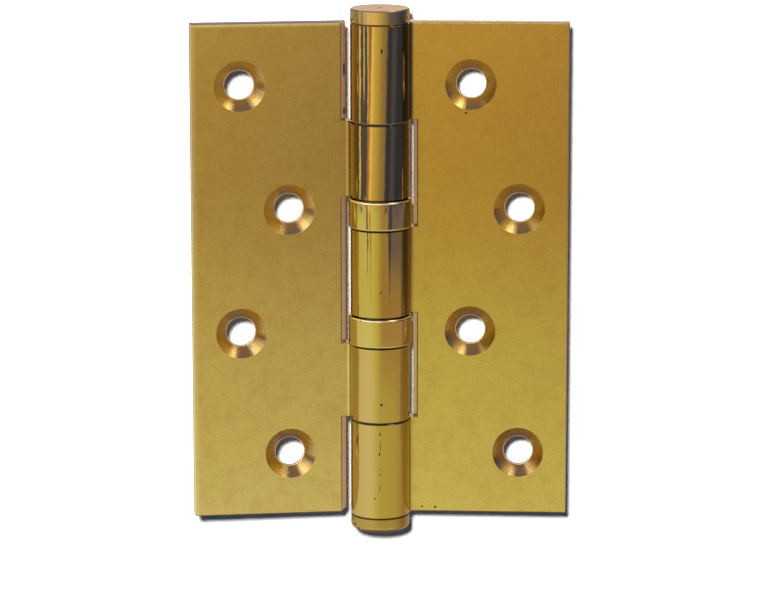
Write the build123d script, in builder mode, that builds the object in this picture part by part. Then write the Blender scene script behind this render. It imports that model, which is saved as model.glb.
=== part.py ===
"""Solid brass butt hinge with two ball bearings, five knuckles and flat button tips.

All sizes are in millimetres. The pin axis is the Z axis and the origin is half way up it.
The countersunk faces look towards -Y. The frame leaf lies along +X, and the door leaf goes
to -X, folded a little towards the viewer, as a hinge lies when it is laid out to be shown.
"""

from build123d import *
from math import asin, cos, pi, radians, sin
import os

# Leaves
leaf_height = 101.6
leaf_width = 38.1          # from the pin axis to the outer edge
leaf_thickness = 3.0
face_setback = 1.25        # from the pin axis back to the countersunk faces
fold_at_rest = 10.0        # degrees by which the door leaf is folded up from flat
edge_break = 0.2           # small chamfer round the leaves and the ends of the knuckles

# Barrel
knuckle_radius = 6.0
outer_knuckle_length = 19.95
door_knuckle_length = 15.7
front_root_fillet = 0.8    # where the countersunk face runs into the knuckle
back_root_fillet = 1.5
door_relief_radius = 7.8   # hollow in the door leaf around the frame leaf's knuckles
frame_relief_radius = 7.5  # hollow in the frame leaf around the door leaf's knuckles
frame_relief_depth = 0.7   # from the pin axis back to the middle of the frame leaf's hollow
knuckle_end_gap = 0.15

# Screw holes
screw_hole_radius = 2.95
countersink_radius = 5.2
countersink_angle = 90
screw_pitch = 25.4         # along the barrel, from one screw to the next
inner_screw_reach = 18.3   # from the pin axis
outer_screw_reach = 28.2

# Pin and button tips
pin_radius = 3.0
running_clearance = 0.05
pin_end_recess = 3.4       # from the end of the barrel in to the end of the pin
stem_end_chamfer = 0.4
tip_radius = 6.0
tip_height = 2.9
tip_stem_length = 3.2
tip_end_rounding = 0.9     # lower edge of the bottom tip
centre_mark_radius = 0.45
centre_mark_depth = 0.3

# Ball bearings
bearing_height = 6.15
sleeve_radius = 6.4
sleeve_wall = 0.65
sleeve_lip_thickness = 0.5
sleeve_end_gap = 0.1       # from the sleeve's lip to the knuckle face beside it
sleeve_rim_rounding = 0.45
lip_overlap = 0.5          # how far each lip reaches in over its race
ball_radius = 1.19
ball_clearance = 0.04      # between a ball and the grooves it runs in
ball_spacing_gap = 0.08    # least gap between two balls
race_gap = 1.6             # between the facing sides of the two races
race_bore_clearance = 0.1  # from a race to the pin
moving_race_clearance = 0.1

# Heights of the barrel's joints, measured from the origin
half_height = leaf_height / 2
outer_knuckle_end = half_height - outer_knuckle_length
door_knuckle_top = outer_knuckle_end - knuckle_end_gap
door_knuckle_bottom = outer_knuckle_end - door_knuckle_length
middle_knuckle_end = door_knuckle_bottom - bearing_height
back_face = face_setback + leaf_thickness

# Bearing radii, from the sleeve inwards
sleeve_bore = sleeve_radius - sleeve_wall
lip_bore = sleeve_bore - lip_overlap
race_hub_radius = lip_bore - running_clearance
race_bore = pin_radius + race_bore_clearance
ball_track_radius = (pin_radius + sleeve_bore) / 2
groove_radius = ball_radius + ball_clearance
ball_count = int(pi / asin((ball_radius + ball_spacing_gap / 2) / ball_track_radius))

# Screw places, as the distance from the pin axis and the height. The rows are staggered
# opposite ways on the two leaves.
screw_heights = [screw_pitch * step for step in (1.5, 0.5, -0.5, -1.5)]
near_first = [inner_screw_reach, outer_screw_reach] * 2
far_first = [outer_screw_reach, inner_screw_reach] * 2
frame_screws = list(zip(near_first, screw_heights))
door_screws = [(-reach, height) for reach, height in zip(far_first, screw_heights)]

os.makedirs("parts", exist_ok=True)


def keep(name, label):
    """Label a finished piece and write it to its own file."""
    name.part.label = label
    export_step(name.part, f"parts/{label}.step")


def level(height, turn=0.0):
    """Horizontal plane at a height, turned about the pin axis."""
    x_dir = (cos(radians(turn)), sin(radians(turn)), 0)
    return Plane(origin=(0, 0, height), x_dir=x_dir, z_dir=(0, 0, 1))


def screw_seats(turn, screws):
    """Planes on a leaf's countersunk face, one at each screw place, looking outwards."""
    along = Vector(cos(radians(turn)), sin(radians(turn)), 0)
    outwards = Vector(sin(radians(turn)), -cos(radians(turn)), 0)
    return [
        Plane(
            origin=along * reach - outwards * face_setback + Vector(0, 0, height),
            x_dir=along,
            z_dir=outwards,
        )
        for reach, height in screws
    ]


def rims_at(piece, radius, height):
    """The round edges of a turned piece that have this radius at this height."""
    return piece.edges().filter_by(
        lambda edge: edge.geom_type == GeomType.CIRCLE
        and abs(edge.radius - radius) < running_clearance
        and abs(edge.arc_center.Z - height) < running_clearance
    )


def make_leaf(side, turn, relief, relieved_spans, bore_radius, screws):
    """A leaf and its knuckles, cut from one drawn bar.

    side is 1 towards +X and -1 towards -X. relief is the radius of the hollows round the
    other leaf's knuckles and how far behind the pin axis they are centred.
    """
    relief_radius, relief_depth = relief
    with BuildPart() as leaf:
        # The drawn section is a round bar with the plate running out of it
        with BuildSketch(level(-half_height, turn)) as section:
            Circle(knuckle_radius)
            with BuildLine():
                Polyline(
                    (0, face_setback),
                    (side * leaf_width, face_setback),
                    (side * leaf_width, back_face),
                    (0, back_face),
                    close=True,
                )
            make_face()
            for depth, radius in (
                (face_setback, front_root_fillet),
                (back_face, back_root_fillet),
            ):
                root = (side * (knuckle_radius**2 - depth**2) ** 0.5, depth, 0)
                fillet(section.vertices().sort_by_distance(root)[0], radius)
        extrude(amount=leaf_height)

        # It is milled away, all round, where the other leaf's knuckles and the bearings stand
        for low, high in relieved_spans:
            with BuildSketch(level(low, turn)):
                with Locations((0, relief_depth)):
                    Circle(relief_radius)
            extrude(amount=high - low, mode=Mode.SUBTRACT)

        # Sharp edges are broken at the leaf's ends and outer side, and at each knuckle's ends
        outer_side = level(0, turn).origin + level(0, turn).x_dir * side * leaf_width
        sharp = leaf.edges().filter_by(lambda edge: abs(edge.center().Z) > half_height - edge_break)
        sharp += leaf.faces().sort_by_distance(outer_side)[0].edges()
        sharp += leaf.edges().filter_by(
            lambda edge: edge.geom_type == GeomType.CIRCLE
            and abs(edge.radius - knuckle_radius) < running_clearance
        )
        chamfer(ShapeList(set(sharp)), edge_break)

        # Bore for the pin, then the countersunk screw holes
        with BuildSketch(level(-half_height)):
            Circle(bore_radius)
        extrude(amount=leaf_height, mode=Mode.SUBTRACT)
        with Locations(*screw_seats(turn, screws)):
            CounterSinkHole(
                screw_hole_radius, countersink_radius, counter_sink_angle=countersink_angle
            )
    return leaf


def make_tip(up):
    """A button tip: a disc, with the stem that is pressed into the end of the barrel.

    up is 1 for the tip on top of the barrel and -1 for the one under it.
    """
    seat = up * half_height
    with BuildPart() as tip:
        with BuildSketch(level(seat)):
            Circle(tip_radius)
        extrude(amount=up * tip_height)
        with BuildSketch(level(seat)):
            Circle(pin_radius)
        extrude(amount=-up * tip_stem_length)
        chamfer(rims_at(tip, tip_radius, seat), edge_break)
        chamfer(rims_at(tip, pin_radius, seat - up * tip_stem_length), stem_end_chamfer)
    return tip


def make_sleeve(middle):
    """Sleeve of a bearing: a drawn shell with a lip turned in at each end."""
    outside = bearing_height / 2 - sleeve_end_gap
    inside = outside - sleeve_lip_thickness
    with BuildPart() as sleeve:
        with BuildSketch(Plane.XZ):
            with BuildLine():
                Polyline(
                    (lip_bore, middle - outside),
                    (sleeve_radius, middle - outside),
                    (sleeve_radius, middle + outside),
                    (lip_bore, middle + outside),
                    (lip_bore, middle + inside),
                    (sleeve_bore, middle + inside),
                    (sleeve_bore, middle - inside),
                    (lip_bore, middle - inside),
                    close=True,
                )
            make_face()
        revolve(axis=Axis.Z)
        rims = rims_at(sleeve, sleeve_radius, middle + outside)
        rims += rims_at(sleeve, sleeve_radius, middle - outside)
        fillet(rims, sleeve_rim_rounding)
    return sleeve


def make_race(middle, up, slack):
    """Race of a bearing, above the balls for up 1 and below them for up -1.

    Its hub passes through the sleeve's lip and bears on the knuckle. slack is how far its
    flange stays clear of the sleeve.
    """
    near = middle + up * race_gap / 2
    shoulder = middle + up * (bearing_height / 2 - sleeve_end_gap - sleeve_lip_thickness - slack)
    far = middle + up * bearing_height / 2
    with BuildPart() as race:
        with BuildSketch(Plane.XZ):
            with BuildLine():
                Polyline(
                    (race_bore, near),
                    (sleeve_bore - slack, near),
                    (sleeve_bore - slack, shoulder),
                    (race_hub_radius, shoulder),
                    (race_hub_radius, far),
                    (race_bore, far),
                    close=True,
                )
            make_face()
            with Locations((ball_track_radius, middle)):
                Circle(groove_radius, mode=Mode.SUBTRACT)
        revolve(axis=Axis.Z)
    return race


def make_ball(middle, number):
    """One ball of a full row, counted round the track."""
    turn = 2 * pi * number / ball_count
    with BuildPart() as ball:
        with Locations((ball_track_radius * cos(turn), ball_track_radius * sin(turn), middle)):
            Sphere(ball_radius)
    return ball


def make_bearing(name, middle, top_slack, bottom_slack):
    """A ball bearing. Its sleeve is crimped over the race that has no slack."""
    keep(make_sleeve(middle), f"{name}_sleeve")
    keep(make_race(middle, 1, top_slack), f"{name}_top_race")
    keep(make_race(middle, -1, bottom_slack), f"{name}_bottom_race")
    for number in range(ball_count):
        keep(make_ball(middle, number), f"{name}_ball_{number + 1:02d}")


# Frame leaf, with the two outer knuckles and the middle one
frame_spans = [(middle_knuckle_end, outer_knuckle_end), (-outer_knuckle_end, -middle_knuckle_end)]
frame_relief = (frame_relief_radius, frame_relief_depth)
frame_leaf = make_leaf(1, 0, frame_relief, frame_spans, pin_radius, frame_screws)
keep(frame_leaf, "frame_leaf")

# Door leaf, with the two knuckles between them
door_spans = [
    (door_knuckle_top, half_height),
    (-door_knuckle_bottom, door_knuckle_bottom),
    (-half_height, -door_knuckle_top),
]
door_relief = (door_relief_radius, 0)
door_bore = pin_radius + running_clearance
door_leaf = make_leaf(-1, fold_at_rest, door_relief, door_spans, door_bore, door_screws)
keep(door_leaf, "door_leaf")

# The pin is pressed into the frame leaf's knuckles and stops short of both ends
with BuildPart() as hinge_pin:
    Cylinder(pin_radius, leaf_height - 2 * pin_end_recess)
    chamfer(hinge_pin.edges().filter_by(GeomType.CIRCLE), stem_end_chamfer)
keep(hinge_pin, "hinge_pin")

# The top tip keeps its corner and has a lathe centre's mark in the middle
top_tip = make_tip(1)
with top_tip:
    chamfer(rims_at(top_tip, tip_radius, half_height + tip_height), edge_break)
    with Locations((0, 0, half_height + tip_height - centre_mark_depth / 2)):
        Cone(0, centre_mark_radius, centre_mark_depth, mode=Mode.SUBTRACT)
keep(top_tip, "top_tip")

# The bottom tip is rounded over
bottom_tip = make_tip(-1)
with bottom_tip:
    fillet(rims_at(bottom_tip, tip_radius, -half_height - tip_height), tip_end_rounding)
keep(bottom_tip, "bottom_tip")

# Each bearing fills the space between a door knuckle and the middle knuckle. Its sleeve
# goes with the knuckle below it.
bearing_middle = (door_knuckle_bottom + middle_knuckle_end) / 2
make_bearing("upper_bearing", bearing_middle, moving_race_clearance, 0)
make_bearing("lower_bearing", -bearing_middle, moving_race_clearance, 0)
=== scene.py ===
# %% [markdown]
# # A polished brass ball bearing hinge
# The hinge is a butt hinge: two drawn brass leaves whose knuckles share one pin, with a
# ball bearing ring above and below the middle knuckle. Every solid comes from the packed
# model, so this file makes its looks: the metals, the room that polished metal shows,
# the white board behind it, and the camera.

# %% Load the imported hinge
import functools
import math

import bmesh
import bpy
from mathutils import Matrix, Vector


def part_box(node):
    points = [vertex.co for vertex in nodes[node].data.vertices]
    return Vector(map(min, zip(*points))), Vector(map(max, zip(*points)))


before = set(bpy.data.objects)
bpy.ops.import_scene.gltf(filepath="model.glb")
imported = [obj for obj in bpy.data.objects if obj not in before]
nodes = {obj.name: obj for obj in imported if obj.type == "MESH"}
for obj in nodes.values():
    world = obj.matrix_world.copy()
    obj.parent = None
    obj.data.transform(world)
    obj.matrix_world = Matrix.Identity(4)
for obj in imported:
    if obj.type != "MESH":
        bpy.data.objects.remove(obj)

scene = bpy.context.scene
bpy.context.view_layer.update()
MM = 0.001

# %% [markdown]
# ## Where things are
# The finishes need to know where the barrel ends and where each screw hole sits, because
# a countersink is turned and a knuckle is buffed while the flat of the leaf is only satin.
# Masks could be painted by hand, but a rule on the place of a point stays sharp at any
# zoom. These are the hinge's own sizes in millimetres, the outer two read from the solids,
# and two bounds that lie just past the barrel and just past the hollows beside it.

# %% Sizes of the hinge
leaf_top_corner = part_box("frame_leaf")[1]
half_height = leaf_top_corner.z / MM
leaf_width = leaf_top_corner.x / MM
front_face = 1.25
back_face = 4.25
fold_of_door_leaf = math.radians(10)
barrel_edge = 6.35
past_hollow = 8.1
cone_foot = 3.5
screw_hole_radius = 2.95
countersink_radius = 5.2
screw_pitch = 25.4
near_row, far_row = 18.3, 28.2
print("half height", round(half_height, 2), "leaf width", round(leaf_width, 2))

# %% [markdown]
# ## Camera
# The photograph looks at the front of the hinge from a little above and a touch to the
# right, through a long lens. A camera could be turned by three angles, but it is easier
# to say how far off and at what azimuth and elevation it stands, and to aim it at a point.
# The focal length was fitted in pixels of a picture 784 wide, so the sensor's width
# turns it into millimetres.

# %% Camera
picture_width = 784
lens_in_pixels = 3732.9
sensor_width = 36
camera_distance = 0.760
camera_azimuth = math.radians(2.94)
camera_elevation = math.radians(11.92)
aim = Vector((2.44, 0, -6.02)) * MM
back = Vector((
    math.sin(camera_azimuth) * math.cos(camera_elevation),
    -math.cos(camera_azimuth) * math.cos(camera_elevation),
    math.sin(camera_elevation),
))
camera_data = bpy.data.cameras.new("photo_camera")
camera_data.sensor_width = sensor_width
camera_data.lens = sensor_width * lens_in_pixels / picture_width
camera_data.clip_start = 0.01
camera_data.clip_end = 20
camera = bpy.data.objects.new("photo_camera", camera_data)
camera.location = aim + back * camera_distance
camera.rotation_euler = (-back).to_track_quat("-Z", "Y").to_euler()
scene.collection.objects.link(camera)
scene.camera = camera
print("camera at", [round(v, 3) for v in camera.location])

# %% [markdown]
# ## A bench for finishes
# A finish is a tree of nodes. Wired one by one it would fill pages, so two small classes
# keep it readable. A Signal is one output of a node that can be added, multiplied and
# compared like a number, and a Bench is the tree, with one method that adds any node, its
# settings first and then its sockets.

# %% Signals
class Signal:
    """One output of a node, with the signs of arithmetic."""

    def __init__(self, bench, output):
        self.bench = bench
        self.output = output

    def sum_of(self, operation, first, second):
        return self.bench.add("ShaderNodeMath", {"operation": operation}, {0: first, 1: second})

    def __add__(self, other):
        return self.sum_of("ADD", self, other)

    def __radd__(self, other):
        return self.sum_of("ADD", other, self)

    def __sub__(self, other):
        return self.sum_of("SUBTRACT", self, other)

    def __rsub__(self, other):
        return self.sum_of("SUBTRACT", other, self)

    def __mul__(self, other):
        return self.sum_of("MULTIPLY", self, other)

    def __rmul__(self, other):
        return self.sum_of("MULTIPLY", other, self)

    def __truediv__(self, other):
        return self.sum_of("DIVIDE", self, other)

    def __pow__(self, other):
        return self.sum_of("POWER", self, other)

    def __lt__(self, other):
        return self.sum_of("LESS_THAN", self, other)

    def __gt__(self, other):
        return self.sum_of("GREATER_THAN", self, other)

    def __abs__(self):
        return self.sum_of("ABSOLUTE", self, 0.0)

    def least(self, other):
        return self.sum_of("MINIMUM", self, other)

    def most(self, other):
        return self.sum_of("MAXIMUM", self, other)

    def sine(self):
        return self.sum_of("SINE", self, 0.0)

    def ease(self, start, end, low=0.0, high=1.0):
        """Goes smoothly from low at start to high at end."""
        return self.bench.add(
            "ShaderNodeMapRange",
            {"interpolation_type": "SMOOTHSTEP"},
            {"Value": self, "From Min": start, "From Max": end, "To Min": low, "To Max": high},
        )


print("signals ready")

# %% The bench
class Bench:
    """A node tree and the one way to add nodes to it."""

    def __init__(self, name, owner=None):
        self.owner = owner or bpy.data.materials.new(name)
        self.owner.use_nodes = True
        self.tree = self.owner.node_tree
        self.tree.nodes.clear()

    def add(self, kind, settings=None, sockets=None, take=0):
        """Adds a node and gives back one of its outputs, or all of them."""
        made = self.tree.nodes.new(kind)
        for name, value in (settings or {}).items():
            if name == "stops":
                self.set_stops(made.color_ramp, value)
            else:
                setattr(made, name, value)
        for socket, value in (sockets or {}).items():
            self.join(made.inputs[socket], value)
        if take == "all":
            return [Signal(self, output) for output in made.outputs]
        return Signal(self, made.outputs[take]) if made.outputs else made

    def join(self, socket, value):
        if isinstance(value, Signal):
            self.tree.links.new(value.output, socket)
        else:
            socket.default_value = value

    def set_stops(self, ramp, stops):
        while len(ramp.elements) < len(stops):
            ramp.elements.new(1.0)
        for element, (place, colour) in zip(ramp.elements, stops):
            element.position = place
            element.color = (*colour, 1.0)

    def place_in_mm(self, turn=0.0):
        """The point's own place in millimetres, turned about the pin."""
        spot = self.add("ShaderNodeTexCoord", take="Object")
        return self.add(
            "ShaderNodeMapping",
            {"vector_type": "POINT"},
            {"Vector": spot, "Rotation": (0, 0, turn), "Scale": (1 / MM, 1 / MM, 1 / MM)},
        )

    def parts(self, vector):
        return self.add("ShaderNodeSeparateXYZ", {}, {0: vector}, "all")

    def direction(self, up, along):
        """The angle of a direction in a plane, in radians."""
        return self.add("ShaderNodeMath", {"operation": "ARCTAN2"}, {0: up, 1: along})

    def stretched(self, vector, scale):
        return self.add("ShaderNodeVectorMath", {"operation": "MULTIPLY"}, {0: vector, 1: scale})

    def grain(self, vector, scale, detail=3.0, rough=0.55):
        sockets = {"Vector": vector, "Scale": scale, "Detail": detail, "Roughness": rough}
        return self.add("ShaderNodeTexNoise", {}, sockets)

    def blend(self, share, first, second, kind="MIX"):
        """A colour between two colours, by share."""
        return self.add(
            "ShaderNodeMix",
            {"data_type": "RGBA", "blend_type": kind},
            {0: share, 6: colour4(first), 7: colour4(second)},
            2,
        )

    def ramp(self, value, low, high, stops):
        """A colour for each value from low to high."""
        placed = [((at - low) / (high - low), colour) for at, colour in stops]
        return self.add("ShaderNodeValToRGB", {"stops": placed}, {"Fac": (value - low) / (high - low)})

    def bump(self, height, distance):
        return self.add("ShaderNodeBump", {}, {"Height": height, "Distance": distance, "Strength": 1.0})

    def metal(self, sockets):
        """Ends the tree in one metal shader."""
        shader = self.add("ShaderNodeBsdfPrincipled", {}, {"Metallic": 1.0, **sockets})
        self.add("ShaderNodeOutputMaterial", {}, {"Surface": shader})
        return self.owner

    def light(self, colour, strength=1.0):
        """Ends the tree in one plain light."""
        glow = self.add("ShaderNodeEmission", {}, {"Color": colour4(colour), "Strength": strength})
        self.add("ShaderNodeOutputMaterial", {}, {"Surface": glow})
        return self.owner


def colour4(value):
    return value if isinstance(value, Signal) else (*value, 1.0)


print("bench ready")

# %% [markdown]
# ## The room that the metal shows
# Polished metal has hardly a look of its own: it shows what stands round it. The barrel
# shows a dark doorway on the right, narrow bright gaps on the left and a pale table in
# front. A finished panorama could stand in for that, or a whole modelled room. Here a
# round screen stands about the hinge, out of the camera's sight and seen only in
# reflections, with plain panels of light on its inner face, because each of them can then
# be moved until the barrel shows it in the right place. A low knuckle looks further down
# the screen than a high one, so the room is laid out by compass angle and height.

# %% Panels and uprights of the room
screen_radius = 300.0
table_top = -80.0
wall_foot = -40.5
far_down, far_up = -500.0, 500.0


class RoundRoom(Bench):
    """The light on the screen's inner face, by compass angle in degrees and height."""

    def __init__(self, name):
        super().__init__(name)
        x, y, self.height = self.parts(self.place_in_mm())
        self.angle = self.direction(x, 0.0 - y) * math.degrees(1)
        self.shown = None

    def panel(self, low, high, soft, bottom=far_down, fade=10.0, top=far_up):
        """A share of 1 from low to high round the screen, between bottom and top."""
        left = self.angle.ease(low - soft, low + soft)
        right = self.angle.ease(high - soft, high + soft, 1.0, 0.0)
        foot = self.height.ease(bottom - fade, bottom + fade)
        head = self.height.ease(top - fade, top + fade, 1.0, 0.0)
        return left * right * (foot * head)

    def upright(self, centre, half_width, bottom, taper, soft=1.2):
        """A narrow upright that runs out in a point at its lower end."""
        grown = ((self.height - bottom) / taper).most(0.0).least(1.0)
        reach = grown * (half_width + soft) - soft
        return (reach - abs(self.angle - centre)).ease(-soft, soft)

    def lay(self, share, colour, kind="MIX"):
        """Lays a colour over what the room shows so far."""
        self.shown = self.blend(share, self.shown, colour, kind)


room = RoundRoom("screen_room")
print("room laid out round", screen_radius, "mm")

# %% [markdown]
# ## The lower part of the room
# The lower knuckles show the table and the window over it: a ramp of pale gold round the
# compass, and over it the table's darker right half, the foot of the doorway and three
# thin uprights that run out in points.

# %% Table and window
room.shown = room.ramp(room.angle, -180, 180, (
    (-180, (0.60, 0.42, 0.30)),
    (-132, (0.78, 0.68, 0.56)),
    (-110, (1.00, 0.88, 0.50)),
    (-97, (1.06, 1.05, 1.00)),
    (-40, (1.13, 1.16, 1.22)),
    (-22, (1.08, 1.09, 0.95)),
    (-12, (0.96, 0.98, 0.58)),
    (2, (0.84, 0.82, 0.46)),
    (62, (0.80, 0.75, 0.40)),
    (86, (0.74, 0.60, 0.37)),
    (102, (0.60, 0.42, 0.30)),
    (180, (0.60, 0.42, 0.30)),
))
room.lay(room.panel(-112, 8, 6, table_top, 14), (0.93, 0.95, 0.56), "MULTIPLY")
room.lay(room.panel(4, 180, 12, table_top - 8, 16), (0.62, 0.45, 0.30))
room.lay(room.panel(92, 180, 6, -106, 8) * 0.9, (0.28, 0.24, 0.50))
room.lay(room.panel(37, 180, 5, -60, 8), (0.28, 0.26, 0.46))
room.lay(room.panel(100, 180, 8, -64, 8), (0.13, 0.14, 0.43))
room.lay(room.upright(41, 7.5, -72, 28), (0.11, 0.12, 0.36))
room.lay(room.upright(-45, 4.4, -69, 26), (0.34, 0.28, 0.42))
room.lay(room.upright(-34, 3.2, -76, 26), (0.88, 0.50, 0.24))
print("lower room above", table_top, "mm")

# %% [markdown]
# ## The upper part of the room
# The upper knuckles show the wall, with a bright gap, a warm edge beside it and the dark
# doorway. On the barrel these run a little aslant, so they follow an angle that leans
# with height. Three thin uprights of light stand on it, left of its bright gap.

# %% Wall and doorway
lean_per_mm = 0.3
wall_turn = 9.5
leaning = room.angle - room.height * lean_per_mm - wall_turn
wall = room.ramp(leaning, -180, 190, (
    (-165, (0.30, 0.25, 0.36)),
    (-150, (0.64, 0.53, 0.50)),
    (-132, (0.64, 0.50, 0.42)),
    (-118, (0.40, 0.30, 0.40)),
    (-84, (0.18, 0.18, 0.42)),
    (-53, (0.14, 0.14, 0.42)),
    (-49, (0.42, 0.38, 0.50)),
    (-45, (0.66, 0.32, 0.24)),
    (-41, (1.05, 0.58, 0.20)),
    (-36, (1.60, 1.20, 0.58)),
    (-32, (1.50, 1.15, 0.62)),
    (-26, (1.04, 0.94, 0.54)),
    (-10, (0.84, 0.72, 0.35)),
    (-3, (0.72, 0.56, 0.31)),
    (7, (0.56, 0.43, 0.32)),
    (17, (0.46, 0.37, 0.39)),
    (25, (0.07, 0.09, 0.27)),
    (38, (0.07, 0.09, 0.27)),
    (46, (0.14, 0.15, 0.44)),
    (56, (0.12, 0.13, 0.40)),
    (68, (0.05, 0.07, 0.22)),
    (108, (0.06, 0.08, 0.24)),
    (122, (0.60, 0.40, 0.34)),
    (190, (0.62, 0.42, 0.36)),
))
room.lay(room.panel(-180, 180, 0.5, wall_foot, 2), wall)
room.lay(room.upright(-80, 3.6, -42, 4), (1.30, 1.20, 0.66))
room.lay(room.upright(-59.5, 3.0, -14, 8), (0.95, 0.88, 0.76))
room.lay(room.upright(-43, 3.0, -22, 8), (1.10, 1.02, 0.96))
print("wall above", wall_foot, "mm")

# %% [markdown]
# ## Ceiling, floor and the far side
# The tops of the tips and leaves look up and to the far side, the countersinks look
# steeply up and down, and the satin flats blur whatever stands below. Each has its own
# broad panel, which the barrel itself hardly shows.

# %% Ceiling, floor and the far side
room.lay(room.panel(-110, 70, 14, 62, 14), (1.05, 1.00, 0.92))
room.lay(room.panel(-64, -28, 8, 25, 5), (2.10, 1.90, 1.60))
room.lay(room.panel(-70, 8, 8, 165, 20), (2.40, 2.30, 2.30))
room.lay(room.panel(-75, 75, 22, far_down, 24, -158), (1.38, 1.34, 1.60))
room.lay(room.panel(118, 175, 5, far_down, 10, -40) * 0.8, (0.74, 0.54, 0.52))
far_side = room.panel(-181, 181, 1.0, 40, 8) * (abs(room.angle) > 160.0)
room.lay(far_side, (0.88, 0.71, 0.64))
print("room has", len(room.tree.nodes), "nodes")

# %% [markdown]
# ## The screen itself
# The screen is an open cylinder with a lid and a floor. It is no piece of the hinge, and
# only glossy rays see it: it lights nothing by itself and casts no shadow, so the white
# behind the hinge stays white.

# %% Build the screen, its lid and its floor
screen_height = 800.0


def put(name, form, finish):
    """A bmesh becomes an object of the scene with one finish."""
    mesh = bpy.data.meshes.new(name)
    form.to_mesh(mesh)
    form.free()
    thing = bpy.data.objects.new(name, mesh)
    scene.collection.objects.link(thing)
    mesh.materials.append(finish)
    return thing


def only_in_reflections(thing):
    thing.visible_camera = False
    thing.visible_diffuse = False
    thing.visible_shadow = False
    thing.visible_transmission = False


screen_form = bmesh.new()
bmesh.ops.create_cone(
    screen_form, cap_ends=False, segments=128,
    radius1=screen_radius * MM, radius2=screen_radius * MM, depth=screen_height * MM,
)
only_in_reflections(put("round_screen", screen_form, room.light(room.shown)))

for name, side, colour in (
    ("screen_lid", 0.5, (0.32, 0.28, 0.42)),
    ("screen_floor", -0.5, (0.30, 0.24, 0.32)),
):
    disc = bmesh.new()
    bmesh.ops.create_circle(disc, cap_ends=True, segments=96, radius=screen_radius * MM)
    bmesh.ops.translate(disc, verts=disc.verts, vec=(0, 0, side * screen_height * MM))
    only_in_reflections(put(name, disc, Bench(name + "_light").light(colour)))
print("screen stands", screen_height, "mm high")

# %% [markdown]
# ## Small lights for the countersinks
# A countersink is a cone, so each hour of its clock shows another part of the room. Lamps
# would do, but their glints are too hard. Two soft boxes up at the sides give it the
# broad bright wedges at about five and seven o'clock.

# %% Soft boxes
box_glow, box_strength = (1.0, 0.93, 0.72), 3.6
boxes_before_pin = 0.03
for name, side, lift, half_size, distance in (
    ("soft_box_left", -1, 43, 0.019, 0.205),
    ("soft_box_right", 1, 61, 0.042, 0.27),
):
    box_form = bmesh.new()
    bmesh.ops.create_grid(box_form, x_segments=1, y_segments=1, size=half_size)
    bmesh.ops.translate(box_form, verts=box_form.verts, vec=(0, 0, distance))
    tilt = Matrix.Rotation(math.radians(side * (90 - lift)), 3, "Y")
    bmesh.ops.rotate(box_form, verts=box_form.verts, cent=(0, 0, 0), matrix=tilt)
    bmesh.ops.translate(box_form, verts=box_form.verts, vec=(0, -boxes_before_pin, 0))
    box_light = Bench(name + "_light").light(box_glow, box_strength)
    only_in_reflections(put(name, box_form, box_light))
    print(name, "at", lift, "degrees up")

# %% [markdown]
# ## The white board
# The hinge stands before plain white with a short, soft shadow to the right and below. A
# white world alone could catch no shadow. A board stands behind the leaf's swing, so no
# pose meets it. Only the camera sees it, and only from its front, so it neither lights
# the metal nor hides the hinge's back.

# %% White board
board_half_size = 0.4
board_behind_pin = 0.045
board_bench = Bench("white_board")
seen = board_bench.add("ShaderNodeLightPath", take="Is Camera Ray")
behind = board_bench.add("ShaderNodeNewGeometry", take="Backfacing")
white = board_bench.add("ShaderNodeBsdfDiffuse", {}, {"Color": (0.98, 0.98, 0.98, 1.0)})
clear = board_bench.add("ShaderNodeBsdfTransparent")
board_mix = board_bench.add("ShaderNodeMixShader", {}, {0: seen * (1.0 - behind), 1: clear, 2: white})
board_bench.add("ShaderNodeOutputMaterial", {}, {"Surface": board_mix})

board_form = bmesh.new()
bmesh.ops.create_grid(board_form, x_segments=1, y_segments=1, size=board_half_size)
upright_turn = Matrix.Rotation(math.radians(90), 3, "X")
bmesh.ops.rotate(board_form, verts=board_form.verts, cent=(0, 0, 0), matrix=upright_turn)
bmesh.ops.translate(board_form, verts=board_form.verts, vec=(0, board_behind_pin, 0))
board = put("board_behind", board_form, board_bench.owner)
board.visible_shadow = False
print("board", board_behind_pin, "m behind the pin")

# %% [markdown]
# ## The board's lamp
# How far the shadow falls to the side is set by how far the lamp stands from the lens,
# and how soft it is by the lamp's size. So the lamp stands just left of the lens and above
# it. Glossy rays don't see it, because the metal would show it as a hard glint.

# %% Lamp
lamp_left = 0.0155
lamp_lift = 0.0215
view_right = camera.matrix_basis.to_3x3() @ Vector((1, 0, 0))
view_up = camera.matrix_basis.to_3x3() @ Vector((0, 1, 0))
lamp_data = bpy.data.lights.new("board_lamp", "POINT")
lamp_data.energy = 46
lamp_data.shadow_soft_size = 0.011
lamp = bpy.data.objects.new("board_lamp", lamp_data)
lamp.location = camera.location - view_right * lamp_left + view_up * lamp_lift
lamp.visible_glossy = False
scene.collection.objects.link(lamp)
print("board lit from", [round(v, 3) for v in lamp.location])

# %% [markdown]
# ## World
# Past the board the camera sees the world, so it is white there, and in reflections and
# through glass too. To every other ray it is almost dark, because its light would fill
# the soft shadow and turn it pale.

# %% World
world = bpy.data.worlds.new("white_world")
scene.world = world
world_bench = Bench("white_world", world)
camera_ray = world_bench.add("ShaderNodeLightPath", take="Is Camera Ray")
glossy_ray = world_bench.add("ShaderNodeLightPath", take="Is Glossy Ray")
clear_ray = world_bench.add("ShaderNodeLightPath", take="Is Transmission Ray")
shown_white = (camera_ray + glossy_ray + clear_ray).least(1.0)
almost_dark, full_white = (0.012, 0.034, 0.062), (1.0, 1.0, 1.0)
sky = world_bench.blend(shown_white, almost_dark, full_white)
glow = world_bench.add("ShaderNodeBackground", {}, {"Color": sky, "Strength": 1.0})
world_bench.add("ShaderNodeOutputWorld", {}, {"Surface": glow})
scene.view_settings.view_transform = "Standard"
print("world white for camera and reflections")

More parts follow.
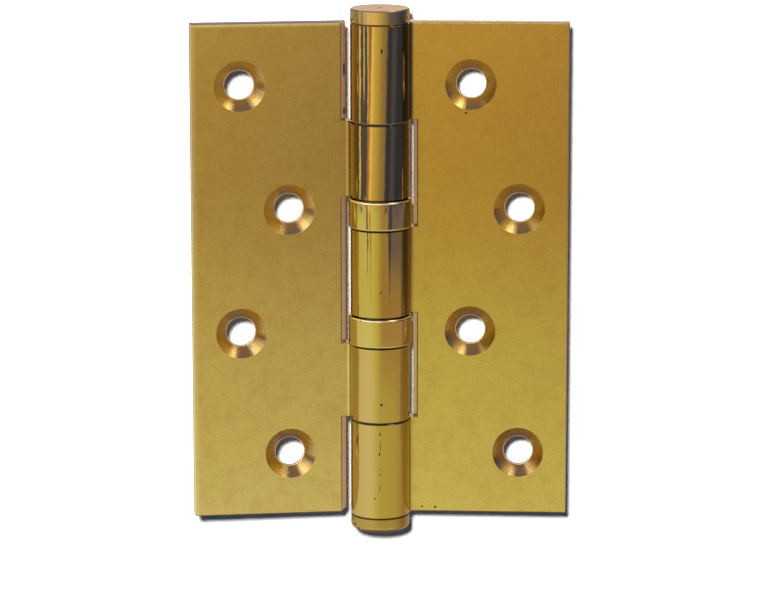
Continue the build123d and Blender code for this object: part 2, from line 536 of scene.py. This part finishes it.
# %% [markdown]
# ## Leaf brass
# A leaf is one drawn bar with three finishes: the flat is satin with fine polishing
# lines, the knuckles are buffed bright, and the countersinks are turned. Three materials
# would need three groups of faces with a hard edge between them. One tree that picks by
# where a point lies lets them run into each other, and small marks can lie over them all.

# %% Colours of the leaf's finishes
gold = (0.50, 0.36, 0.10)
turned_gold = (0.50, 0.35, 0.125)
wear_and_highlight_gold = (0.86, 0.72, 0.42)
# pale colour of the painted highlights on rims, chamfers and lips
highlight_pale = (0.95, 0.84, 0.62)
tarnish = (0.40, 0.22, 0.05)
brown_speck = (0.30, 0.19, 0.06)
# dark colour of painted shade in corners, joints and on the door leaf's top end
painted_shade_dark = (0.07, 0.052, 0.038)
# dark colour of the pits, and of the painted shade at the tips' joints
pit_and_shade_dark = (0.03, 0.022, 0.016)
print("brass from", wear_and_highlight_gold, "to", pit_and_shade_dark)

# %% [markdown]
# ## Way to the nearest screw hole
# The holes stand one pitch apart in height and step in and out, so one repeating pattern
# gives the way from any point to its nearest hole, where eight separate distances would
# take eight times the nodes. Its length draws the turned rings of the countersink, and
# its direction the fine chatter of the cutter.

# %% Way to the nearest screw hole
def way_to_hole(bench, x, z, even_row, odd_row):
    """Distance to the nearest screw hole, and the direction round it."""
    rows = (z + 2 * screw_pitch) / screw_pitch
    row = bench.add("ShaderNodeMath", {"operation": "FLOOR"}, {0: rows})
    odd = bench.add("ShaderNodeMath", {"operation": "MODULO"}, {0: row, 1: 2.0})
    dx = x - (odd * (odd_row - even_row) + even_row)
    dz = (rows - row - 0.5) * screw_pitch
    return (dx * dx + dz * dz) ** 0.5, bench.direction(dz, dx)


print("holes every", screw_pitch, "mm")

# %% [markdown]
# ## Zones of a leaf
# Every later step asks the same things of a point: is it on the barrel, on the flat, in
# a countersink or on the front? They are worked out once here and kept with the tree, as
# are the two grains that most steps share and the tone that has been laid on so far.

# %% Zones of a leaf
class LeafBrass(Bench):
    """A leaf's zones and grains, and the tone laid on so far."""

    def __init__(self, name, turn, side, rows):
        super().__init__(name)
        self.side = side
        self.spot = self.place_in_mm(turn)
        self.x, self.y, self.z = self.parts(self.spot)
        self.reach = (self.x * self.x + self.y * self.y) ** 0.5
        self.on_barrel = self.reach.ease(barrel_edge - 0.15, barrel_edge + 0.25, 1.0, 0.0)
        self.plain = 1.0 - self.on_barrel
        self.on_front = self.y < (back_face - 0.15)
        self.to_screw, self.around = way_to_hole(self, self.x, self.z, *rows)
        self.in_sink = (self.to_screw < (countersink_radius - 0.03)) * self.on_front
        self.mottle = self.grain(self.spot, 0.9, 4.0)
        self.fine = self.grain(self.spot, 5.0, 2.0)
        self.tone = None

    def lay(self, share, colour):
        self.tone = self.blend(share, self.tone, colour)


print("zones of a leaf ready")

# %% [markdown]
# ## Flat, and the pale edges
# The flat is a little redder and darker at the top and paler at the foot, a painted
# reflection, with faint tarnish and brown specks. The top, the outer side and the small
# rounded break along the front take a lighter brass, partly worn by the buffing wheel and
# partly a painted highlight.

# %% Flat and worn edges
def colour_flat(leaf, shaded_top_tone, lit_bottom_tone):
    patches = leaf.grain(leaf.spot, 0.35, 5.0, 0.7)
    specks = leaf.grain(leaf.spot, 2.6, 5.0, 0.8)
    # painted reflection: the flat runs from a lit, paler foot to a shaded, redder top
    leaf.tone = leaf.blend(leaf.z.ease(-22, 24), lit_bottom_tone, shaded_top_tone)
    leaf.lay((patches - 0.45).most(0.0) * 1.1, tarnish)
    leaf.lay(leaf.on_barrel, gold)
    leaf.lay((specks - 0.46).most(0.0) * 1.5 * (1.0 - leaf.on_barrel * 0.7), brown_speck)


def wear_edges(leaf, top_share, top_width, side_share, side_width, end_reflection_tone):
    """Shares and widths of the bands of wear and painted highlight, and the painted reflection tone of
    the leaf's top end.
    """
    to_top = (leaf.z - half_height) * -1.0 + (leaf.mottle - 0.5) * 0.5
    to_outside = (leaf.x * leaf.side - leaf_width) * -1.0
    top_wear_and_highlight = to_top.ease(0.15, top_width, top_share, 0.0)
    side_wear_and_highlight = to_outside.ease(0.15, side_width, side_share, 0.0)
    # painted highlight, partly real wear: the top and the outer side take a lighter brass
    leaf.lay(top_wear_and_highlight.most(side_wear_and_highlight) * leaf.plain, wear_and_highlight_gold)
    # painted reflection on the top end face: a pale highlight on the frame leaf, painted shade on the
    # door leaf
    leaf.lay(((leaf.z - half_height) > -0.05) * leaf.plain, end_reflection_tone)
    along_front = (leaf.y > (front_face + 0.03)) * (leaf.y < (front_face + 0.25))
    at_edge = ((leaf.reach < past_hollow) + (to_outside < 0.21)).least(1.0)
    leaf.rounded = along_front * at_edge * leaf.plain
    # painted highlight on the small rounded break along the front
    leaf.lay(leaf.rounded * 0.6, wear_and_highlight_gold)


print("flat and edges ready")

# %% [markdown]
# ## Countersinks
# A cutter leaves rings and a fine chatter across them. As geometry they would take
# thousands of faces for something a hundredth of a millimetre deep, so both go into the
# bump. The thin rim where the cone meets the screw hole gets a pale painted highlight.

# %% Countersinks
ring_pace = 21.0
chatter_pace = 7.0


def turn_countersinks(leaf):
    leaf.lay(leaf.in_sink, turned_gold)
    past_hole = leaf.to_screw - screw_hole_radius
    leaf.hole_rim = past_hole.ease(0.10, 0.22, 1.0, 0.0) * (leaf.y < (cone_foot + 0.1))
    # painted highlight: a pale ring at the rim of the screw hole
    leaf.lay(leaf.hole_rim, highlight_pale)
    rings = (leaf.to_screw * ring_pace + leaf.mottle * 3.0).sine()
    chatter = leaf.add(
        "ShaderNodeTexNoise",
        {"noise_dimensions": "1D"},
        {"W": leaf.around * chatter_pace + leaf.z * 0.05, "Detail": 3.0},
    )
    leaf.cut = (rings * 0.35 + chatter * 1.2) * leaf.in_sink


print("countersinks ready")

# %% [markdown]
# ## Joints of the barrel
# Each knuckle ends in a small chamfer. Some chamfers get painted shade, a dark line in the
# joint, and others a pale painted highlight. Painted shade also darkens the corner where the
# front of a leaf runs into its knuckles. The chamfers are found by their height, measured
# from the middle of the pin.

# %% Joints of the barrel
def nearest(value, places):
    """How far a value is from the nearest of some places."""
    return functools.reduce(Signal.least, [abs(value - place) for place in places])


def shade_joints(leaf, highlit_chamfers, shaded_chamfers, corner_shade_share):
    """Heights of the chamfers with painted highlight and with painted shade, and how dark the painted
    shade in the corner is.
    """
    round_barrel = leaf.reach.ease(6.02, 6.10, 1.0, 0.0)
    leaf.lip = nearest(leaf.z, highlit_chamfers).ease(0.08, 0.16, 1.0, 0.0) * round_barrel
    # painted shade: a dark line on some chamfers of the joints
    joint_shade = nearest(leaf.z, shaded_chamfers).ease(0.15, 0.25, 1.0, 0.0) * round_barrel
    # painted shade in the corner where the leaf's front runs into its knuckles
    beside = (leaf.x * leaf.side).ease(4.3, 5.2) * leaf.reach.ease(6.5, 7.0, 1.0, 0.0)
    corner_shade = beside * leaf.z.ease(-38, 0) * (leaf.y < 0.0)
    leaf.lay(corner_shade * corner_shade_share, painted_shade_dark)
    leaf.lay(joint_shade * 0.95, painted_shade_dark)
    # painted highlight: a pale line on some chamfers
    leaf.lay(leaf.lip * 0.8, highlight_pale)


print("joints ready")

# %% [markdown]
# ## Pits and scratches
# The hinge has a few small marks. Each is an oval whose edge a fine grain frays, given
# by its middle and half its width and length. A row of them in line makes a scratch.

# %% Pits and scratches
frame_leaf_marks = (
    (0.69, 45.7, 0.22, 0.42),
    (-0.73, -46.4, 0.20, 0.16),
    (0.52, -3.4, 0.12, 0.30),
    (0.30, -32.8, 0.13, 0.40),
    (0.37, -35.4, 0.06, 1.05),
    (0.22, -37.0, 0.14, 0.35),
    (0.29, -40.1, 0.09, 0.18),
    (0.27, -41.3, 0.12, 0.20),
    (0.25, -44.1, 0.07, 0.75),
    (11.3, -49.9, 0.35, 0.18),
    (8.6, -49.8, 0.22, 0.15),
    (17.3, 32.3, 0.25, 0.22),
)
door_leaf_marks = (
    (-0.45, -26.7, 0.26, 0.26),
    (-6.85, 40.9, 0.28, 1.25),
    (-6.85, 32.4, 0.28, 0.75),
)


def mark_leaf(leaf, marks):
    shares = []
    for middle_x, middle_z, half_width, half_length in marks:
        across = (leaf.x - middle_x) / half_width
        along = (leaf.z - middle_z) / half_length
        away = (across * across + along * along) ** 0.5 + (leaf.fine - 0.5) * 1.2
        shares.append(away.ease(0.8, 1.2, 1.0, 0.0) * leaf.on_front)
    leaf.marked = functools.reduce(Signal.most, shares)
    leaf.lay(leaf.marked, pit_and_shade_dark)


print("marks", len(frame_leaf_marks) + len(door_leaf_marks))

# %% [markdown]
# ## Sheen and relief of a leaf
# Roughness does most of the work: the satin flat blurs the room to one soft tone, and the
# buffed knuckles show it sharply. Polishing lines run up the flat. The knuckles get faint
# waves, because no hand-buffed barrel is a perfect mirror.

# %% Sheen and relief
satin, buffed, turned, dull = 0.27, 0.03, 0.085, 0.45
relief_depth = 0.00001


def close_leaf(leaf):
    """Roughness and relief of all the leaf's zones, and the metal itself."""
    lines = leaf.grain(leaf.stretched(leaf.spot, (6.0, 6.0, 0.12)), 1.0, 3.0)
    waves = leaf.grain(leaf.stretched(leaf.spot, (1.0, 1.0, 0.25)), 0.9, 2.0)
    rough = satin + (leaf.mottle - 0.5) * 0.08 + (lines - 0.5) * 0.06
    rough = rough + leaf.on_barrel * (buffed + (leaf.mottle - 0.5) * 0.02 - rough)
    rough = rough + leaf.in_sink * (turned - rough)
    dulled = leaf.hole_rim.most(leaf.lip).most(leaf.marked).most(leaf.rounded)
    rough = rough + dulled * (dull - rough)
    height = (lines - 0.5) * leaf.plain * 0.6 + (leaf.fine - 0.5) * leaf.plain * 0.8
    height = height + waves * leaf.on_barrel * 2.0 + leaf.cut - leaf.marked * 1.5
    normal = leaf.bump(height, relief_depth)
    return leaf.metal({"Base Color": leaf.tone, "Roughness": rough, "Normal": normal})


def leaf_finish(name, turn, side, rows, flat, wear, joints, marks):
    leaf = LeafBrass(name, turn, side, rows)
    colour_flat(leaf, **flat)
    wear_edges(leaf, **wear)
    turn_countersinks(leaf)
    shade_joints(leaf, **joints)
    mark_leaf(leaf, marks)
    return close_leaf(leaf)


print("sheen from", buffed, "to", dull)

# %% [markdown]
# ## Both leaves
# The two leaves are the same bar with the near and far holes changed about. The door leaf
# lies folded up, so its places are turned back by the fold before they are measured.

# %% Finish both leaves
leaf_looks = {
    "frame_leaf": leaf_finish(
        "frame_leaf_brass", turn=0.0, side=1, rows=(far_row, near_row),
        flat={"shaded_top_tone": (0.515, 0.325, 0.071), "lit_bottom_tone": (0.585, 0.457, 0.118)},
        wear={"top_share": 0.9, "top_width": 0.45, "side_share": 0.0, "side_width": 0.3,
              "end_reflection_tone": wear_and_highlight_gold},
        joints={"highlit_chamfers": (30.93,), "shaded_chamfers": (-8.9, -30.9), "corner_shade_share": 0.72},
        marks=frame_leaf_marks,
    ),
    "door_leaf": leaf_finish(
        "door_leaf_brass", turn=-fold_of_door_leaf, side=-1, rows=(-near_row, -far_row),
        flat={"shaded_top_tone": (0.505, 0.36, 0.10), "lit_bottom_tone": (0.60, 0.47, 0.158)},
        wear={"top_share": 0.9, "top_width": 1.0, "side_share": 0.35, "side_width": 1.4,
              "end_reflection_tone": painted_shade_dark},
        joints={"highlit_chamfers": (-30.62,), "shaded_chamfers": (30.6, 15.25), "corner_shade_share": 0.2},
        marks=door_leaf_marks,
    ),
}
for name, look in leaf_looks.items():
    nodes[name].material_slots[0].material = look
print("leaves finished", sorted(leaf_looks))

# %% [markdown]
# ## Bearing sleeves
# The sleeves are drawn brass, polished to a mirror. They could take the knuckles' finish,
# but each has a lip turned in at its top, which gets a pale painted highlight, and a foot
# with a band of painted shade, and both are found from the sleeve's own box.

# %% Bearing sleeves
sleeve_gold = (0.53, 0.40, 0.13)
sleeve_shade = (0.36, 0.24, 0.07)


def sleeve_finish(name):
    bench = Bench(name + "_brass_mirror")
    low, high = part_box(name)
    spot = bench.place_in_mm()
    z = bench.parts(spot)[2]
    haze = bench.grain(spot, 1.4, 4.0)
    tone = bench.blend((haze - 0.5).most(0.0) * 0.25, sleeve_gold, sleeve_shade)
    # painted shade: a dark band at the sleeve's foot
    joint_shade = (z - low.z / MM).ease(0.06, 0.14, 1.0, 0.0)
    # painted highlight: a pale band at the lip
    lip = ((z - high.z / MM) * -1.0).ease(0.30, 0.45, 1.0, 0.0)
    tone = bench.blend(joint_shade * 0.95, tone, painted_shade_dark)
    tone = bench.blend(lip * 0.4, tone, highlight_pale)
    waves = bench.grain(bench.stretched(spot, (1.0, 1.0, 0.3)), 0.8, 1.0)
    rough = 0.04 + (haze - 0.5) * 0.03
    return bench.metal({"Base Color": tone, "Roughness": rough, "Normal": bench.bump(waves, 0.00002)})


sleeve_looks = [(name, sleeve_finish(name)) for name in ("upper_bearing_sleeve", "lower_bearing_sleeve")]
print("sleeves", len(sleeve_looks))

# %% [markdown]
# ## Button tips
# The tips are turned and only lightly polished, so they blur what they show, and fine
# rings run round their tops. A band of painted shade darkens the joint behind each, and
# the lower one is nicked at its left edge. A nick is a small ball of space: what lies in
# it is dark. The two tips are one brass, given a lighter and a darker copy of its colour:
# painted light on the upper, painted shade on the lower.

# %% Button tips
def tip_finish(name, colour, nicks):
    bench = Bench(name)
    spot = bench.place_in_mm()
    x, y, z = bench.parts(spot)
    rings = ((x * x + y * y) ** 0.5 * 22.0).sine()
    bands = bench.grain(bench.stretched(spot, (0.2, 0.2, 4.0)), 1.0, 3.0)
    fine = bench.grain(spot, 4.0, 3.0)
    tone = bench.blend((bands - 0.5).most(0.0) * 0.8, colour, [0.65 * c for c in colour])
    # painted shade: a dark band at the joint behind the tip; the nicks are added to it below
    joint_shade_and_nicks = (abs(z) - half_height).ease(0.12, 0.24, 0.8, 0.0)
    for nick_x, nick_y, nick_z, size in nicks:
        dx, dy, dz = x - nick_x, y - nick_y, z - nick_z
        away = (dx * dx + dy * dy + dz * dz) ** 0.5 + (fine - 0.5) * 0.5
        joint_shade_and_nicks = away.ease(size * 0.6, size, 1.0, 0.0) + joint_shade_and_nicks
    tone = bench.blend(joint_shade_and_nicks.least(1.0), tone, pit_and_shade_dark)
    height = rings * 0.4 + bands + (fine - 0.5) * 0.6 - joint_shade_and_nicks * 3.0
    rough = 0.23 + (bands - 0.5) * 0.1 + joint_shade_and_nicks * 0.2
    return bench.metal({"Base Color": tone, "Roughness": rough, "Normal": bench.bump(height, 0.000008)})


bottom_nicks = ((-5.5, -2.2, -51.6, 0.45), (-4.9, -3.4, -52.4, 0.35), (-4.2, -4.2, -53.3, 0.45))
tip_looks = [
    # one brass in two copies: lighter as painted light on the top tip, darker as painted shade on the
    # bottom tip
    ("top_tip", tip_finish("top_tip_brass_lit", (0.55, 0.40, 0.14), ())),
    ("bottom_tip", tip_finish("bottom_tip_brass_shaded", (0.38, 0.26, 0.06), bottom_nicks)),
]
print("tips", len(tip_looks), "nicks", len(bottom_nicks))

# %% [markdown]
# ## Steel inside the barrel
# The pin, races and balls are ground steel. No view from outside shows them, but a library
# part may be taken apart, so they still get a true finish: one short tree with grinding
# marks, of which the races' are finer than the pin's and the balls' have no direction.

# %% Steel inside the barrel
def steel_finish(name, colour, shine, ring_pace):
    bench = Bench(name)
    marks = bench.grain(bench.stretched(bench.place_in_mm(), (1.0, 1.0, ring_pace)), 2.0, 3.0)
    tone = bench.blend((marks - 0.5).most(0.0) * 0.8, colour, [0.6 * c for c in colour])
    rough = shine + (marks - 0.5) * 0.1
    return bench.metal({"Base Color": tone, "Roughness": rough, "Normal": bench.bump(marks, 0.000005)})


steel_looks = [
    ("pin", steel_finish("pin_steel_ground", (0.50, 0.50, 0.51), 0.25, 6.0)),
    ("race", steel_finish("race_steel_ground", (0.42, 0.42, 0.44), 0.2, 4.0)),
    ("ball_", steel_finish("ball_steel_polished", (0.60, 0.60, 0.62), 0.08, 1.0)),
]
for name, thing in nodes.items():
    for part, look in sleeve_looks + tip_looks + steel_looks:
        if part in name and name not in leaf_looks:
            thing.material_slots[0].material = look
print("all", len(nodes), "nodes finished")
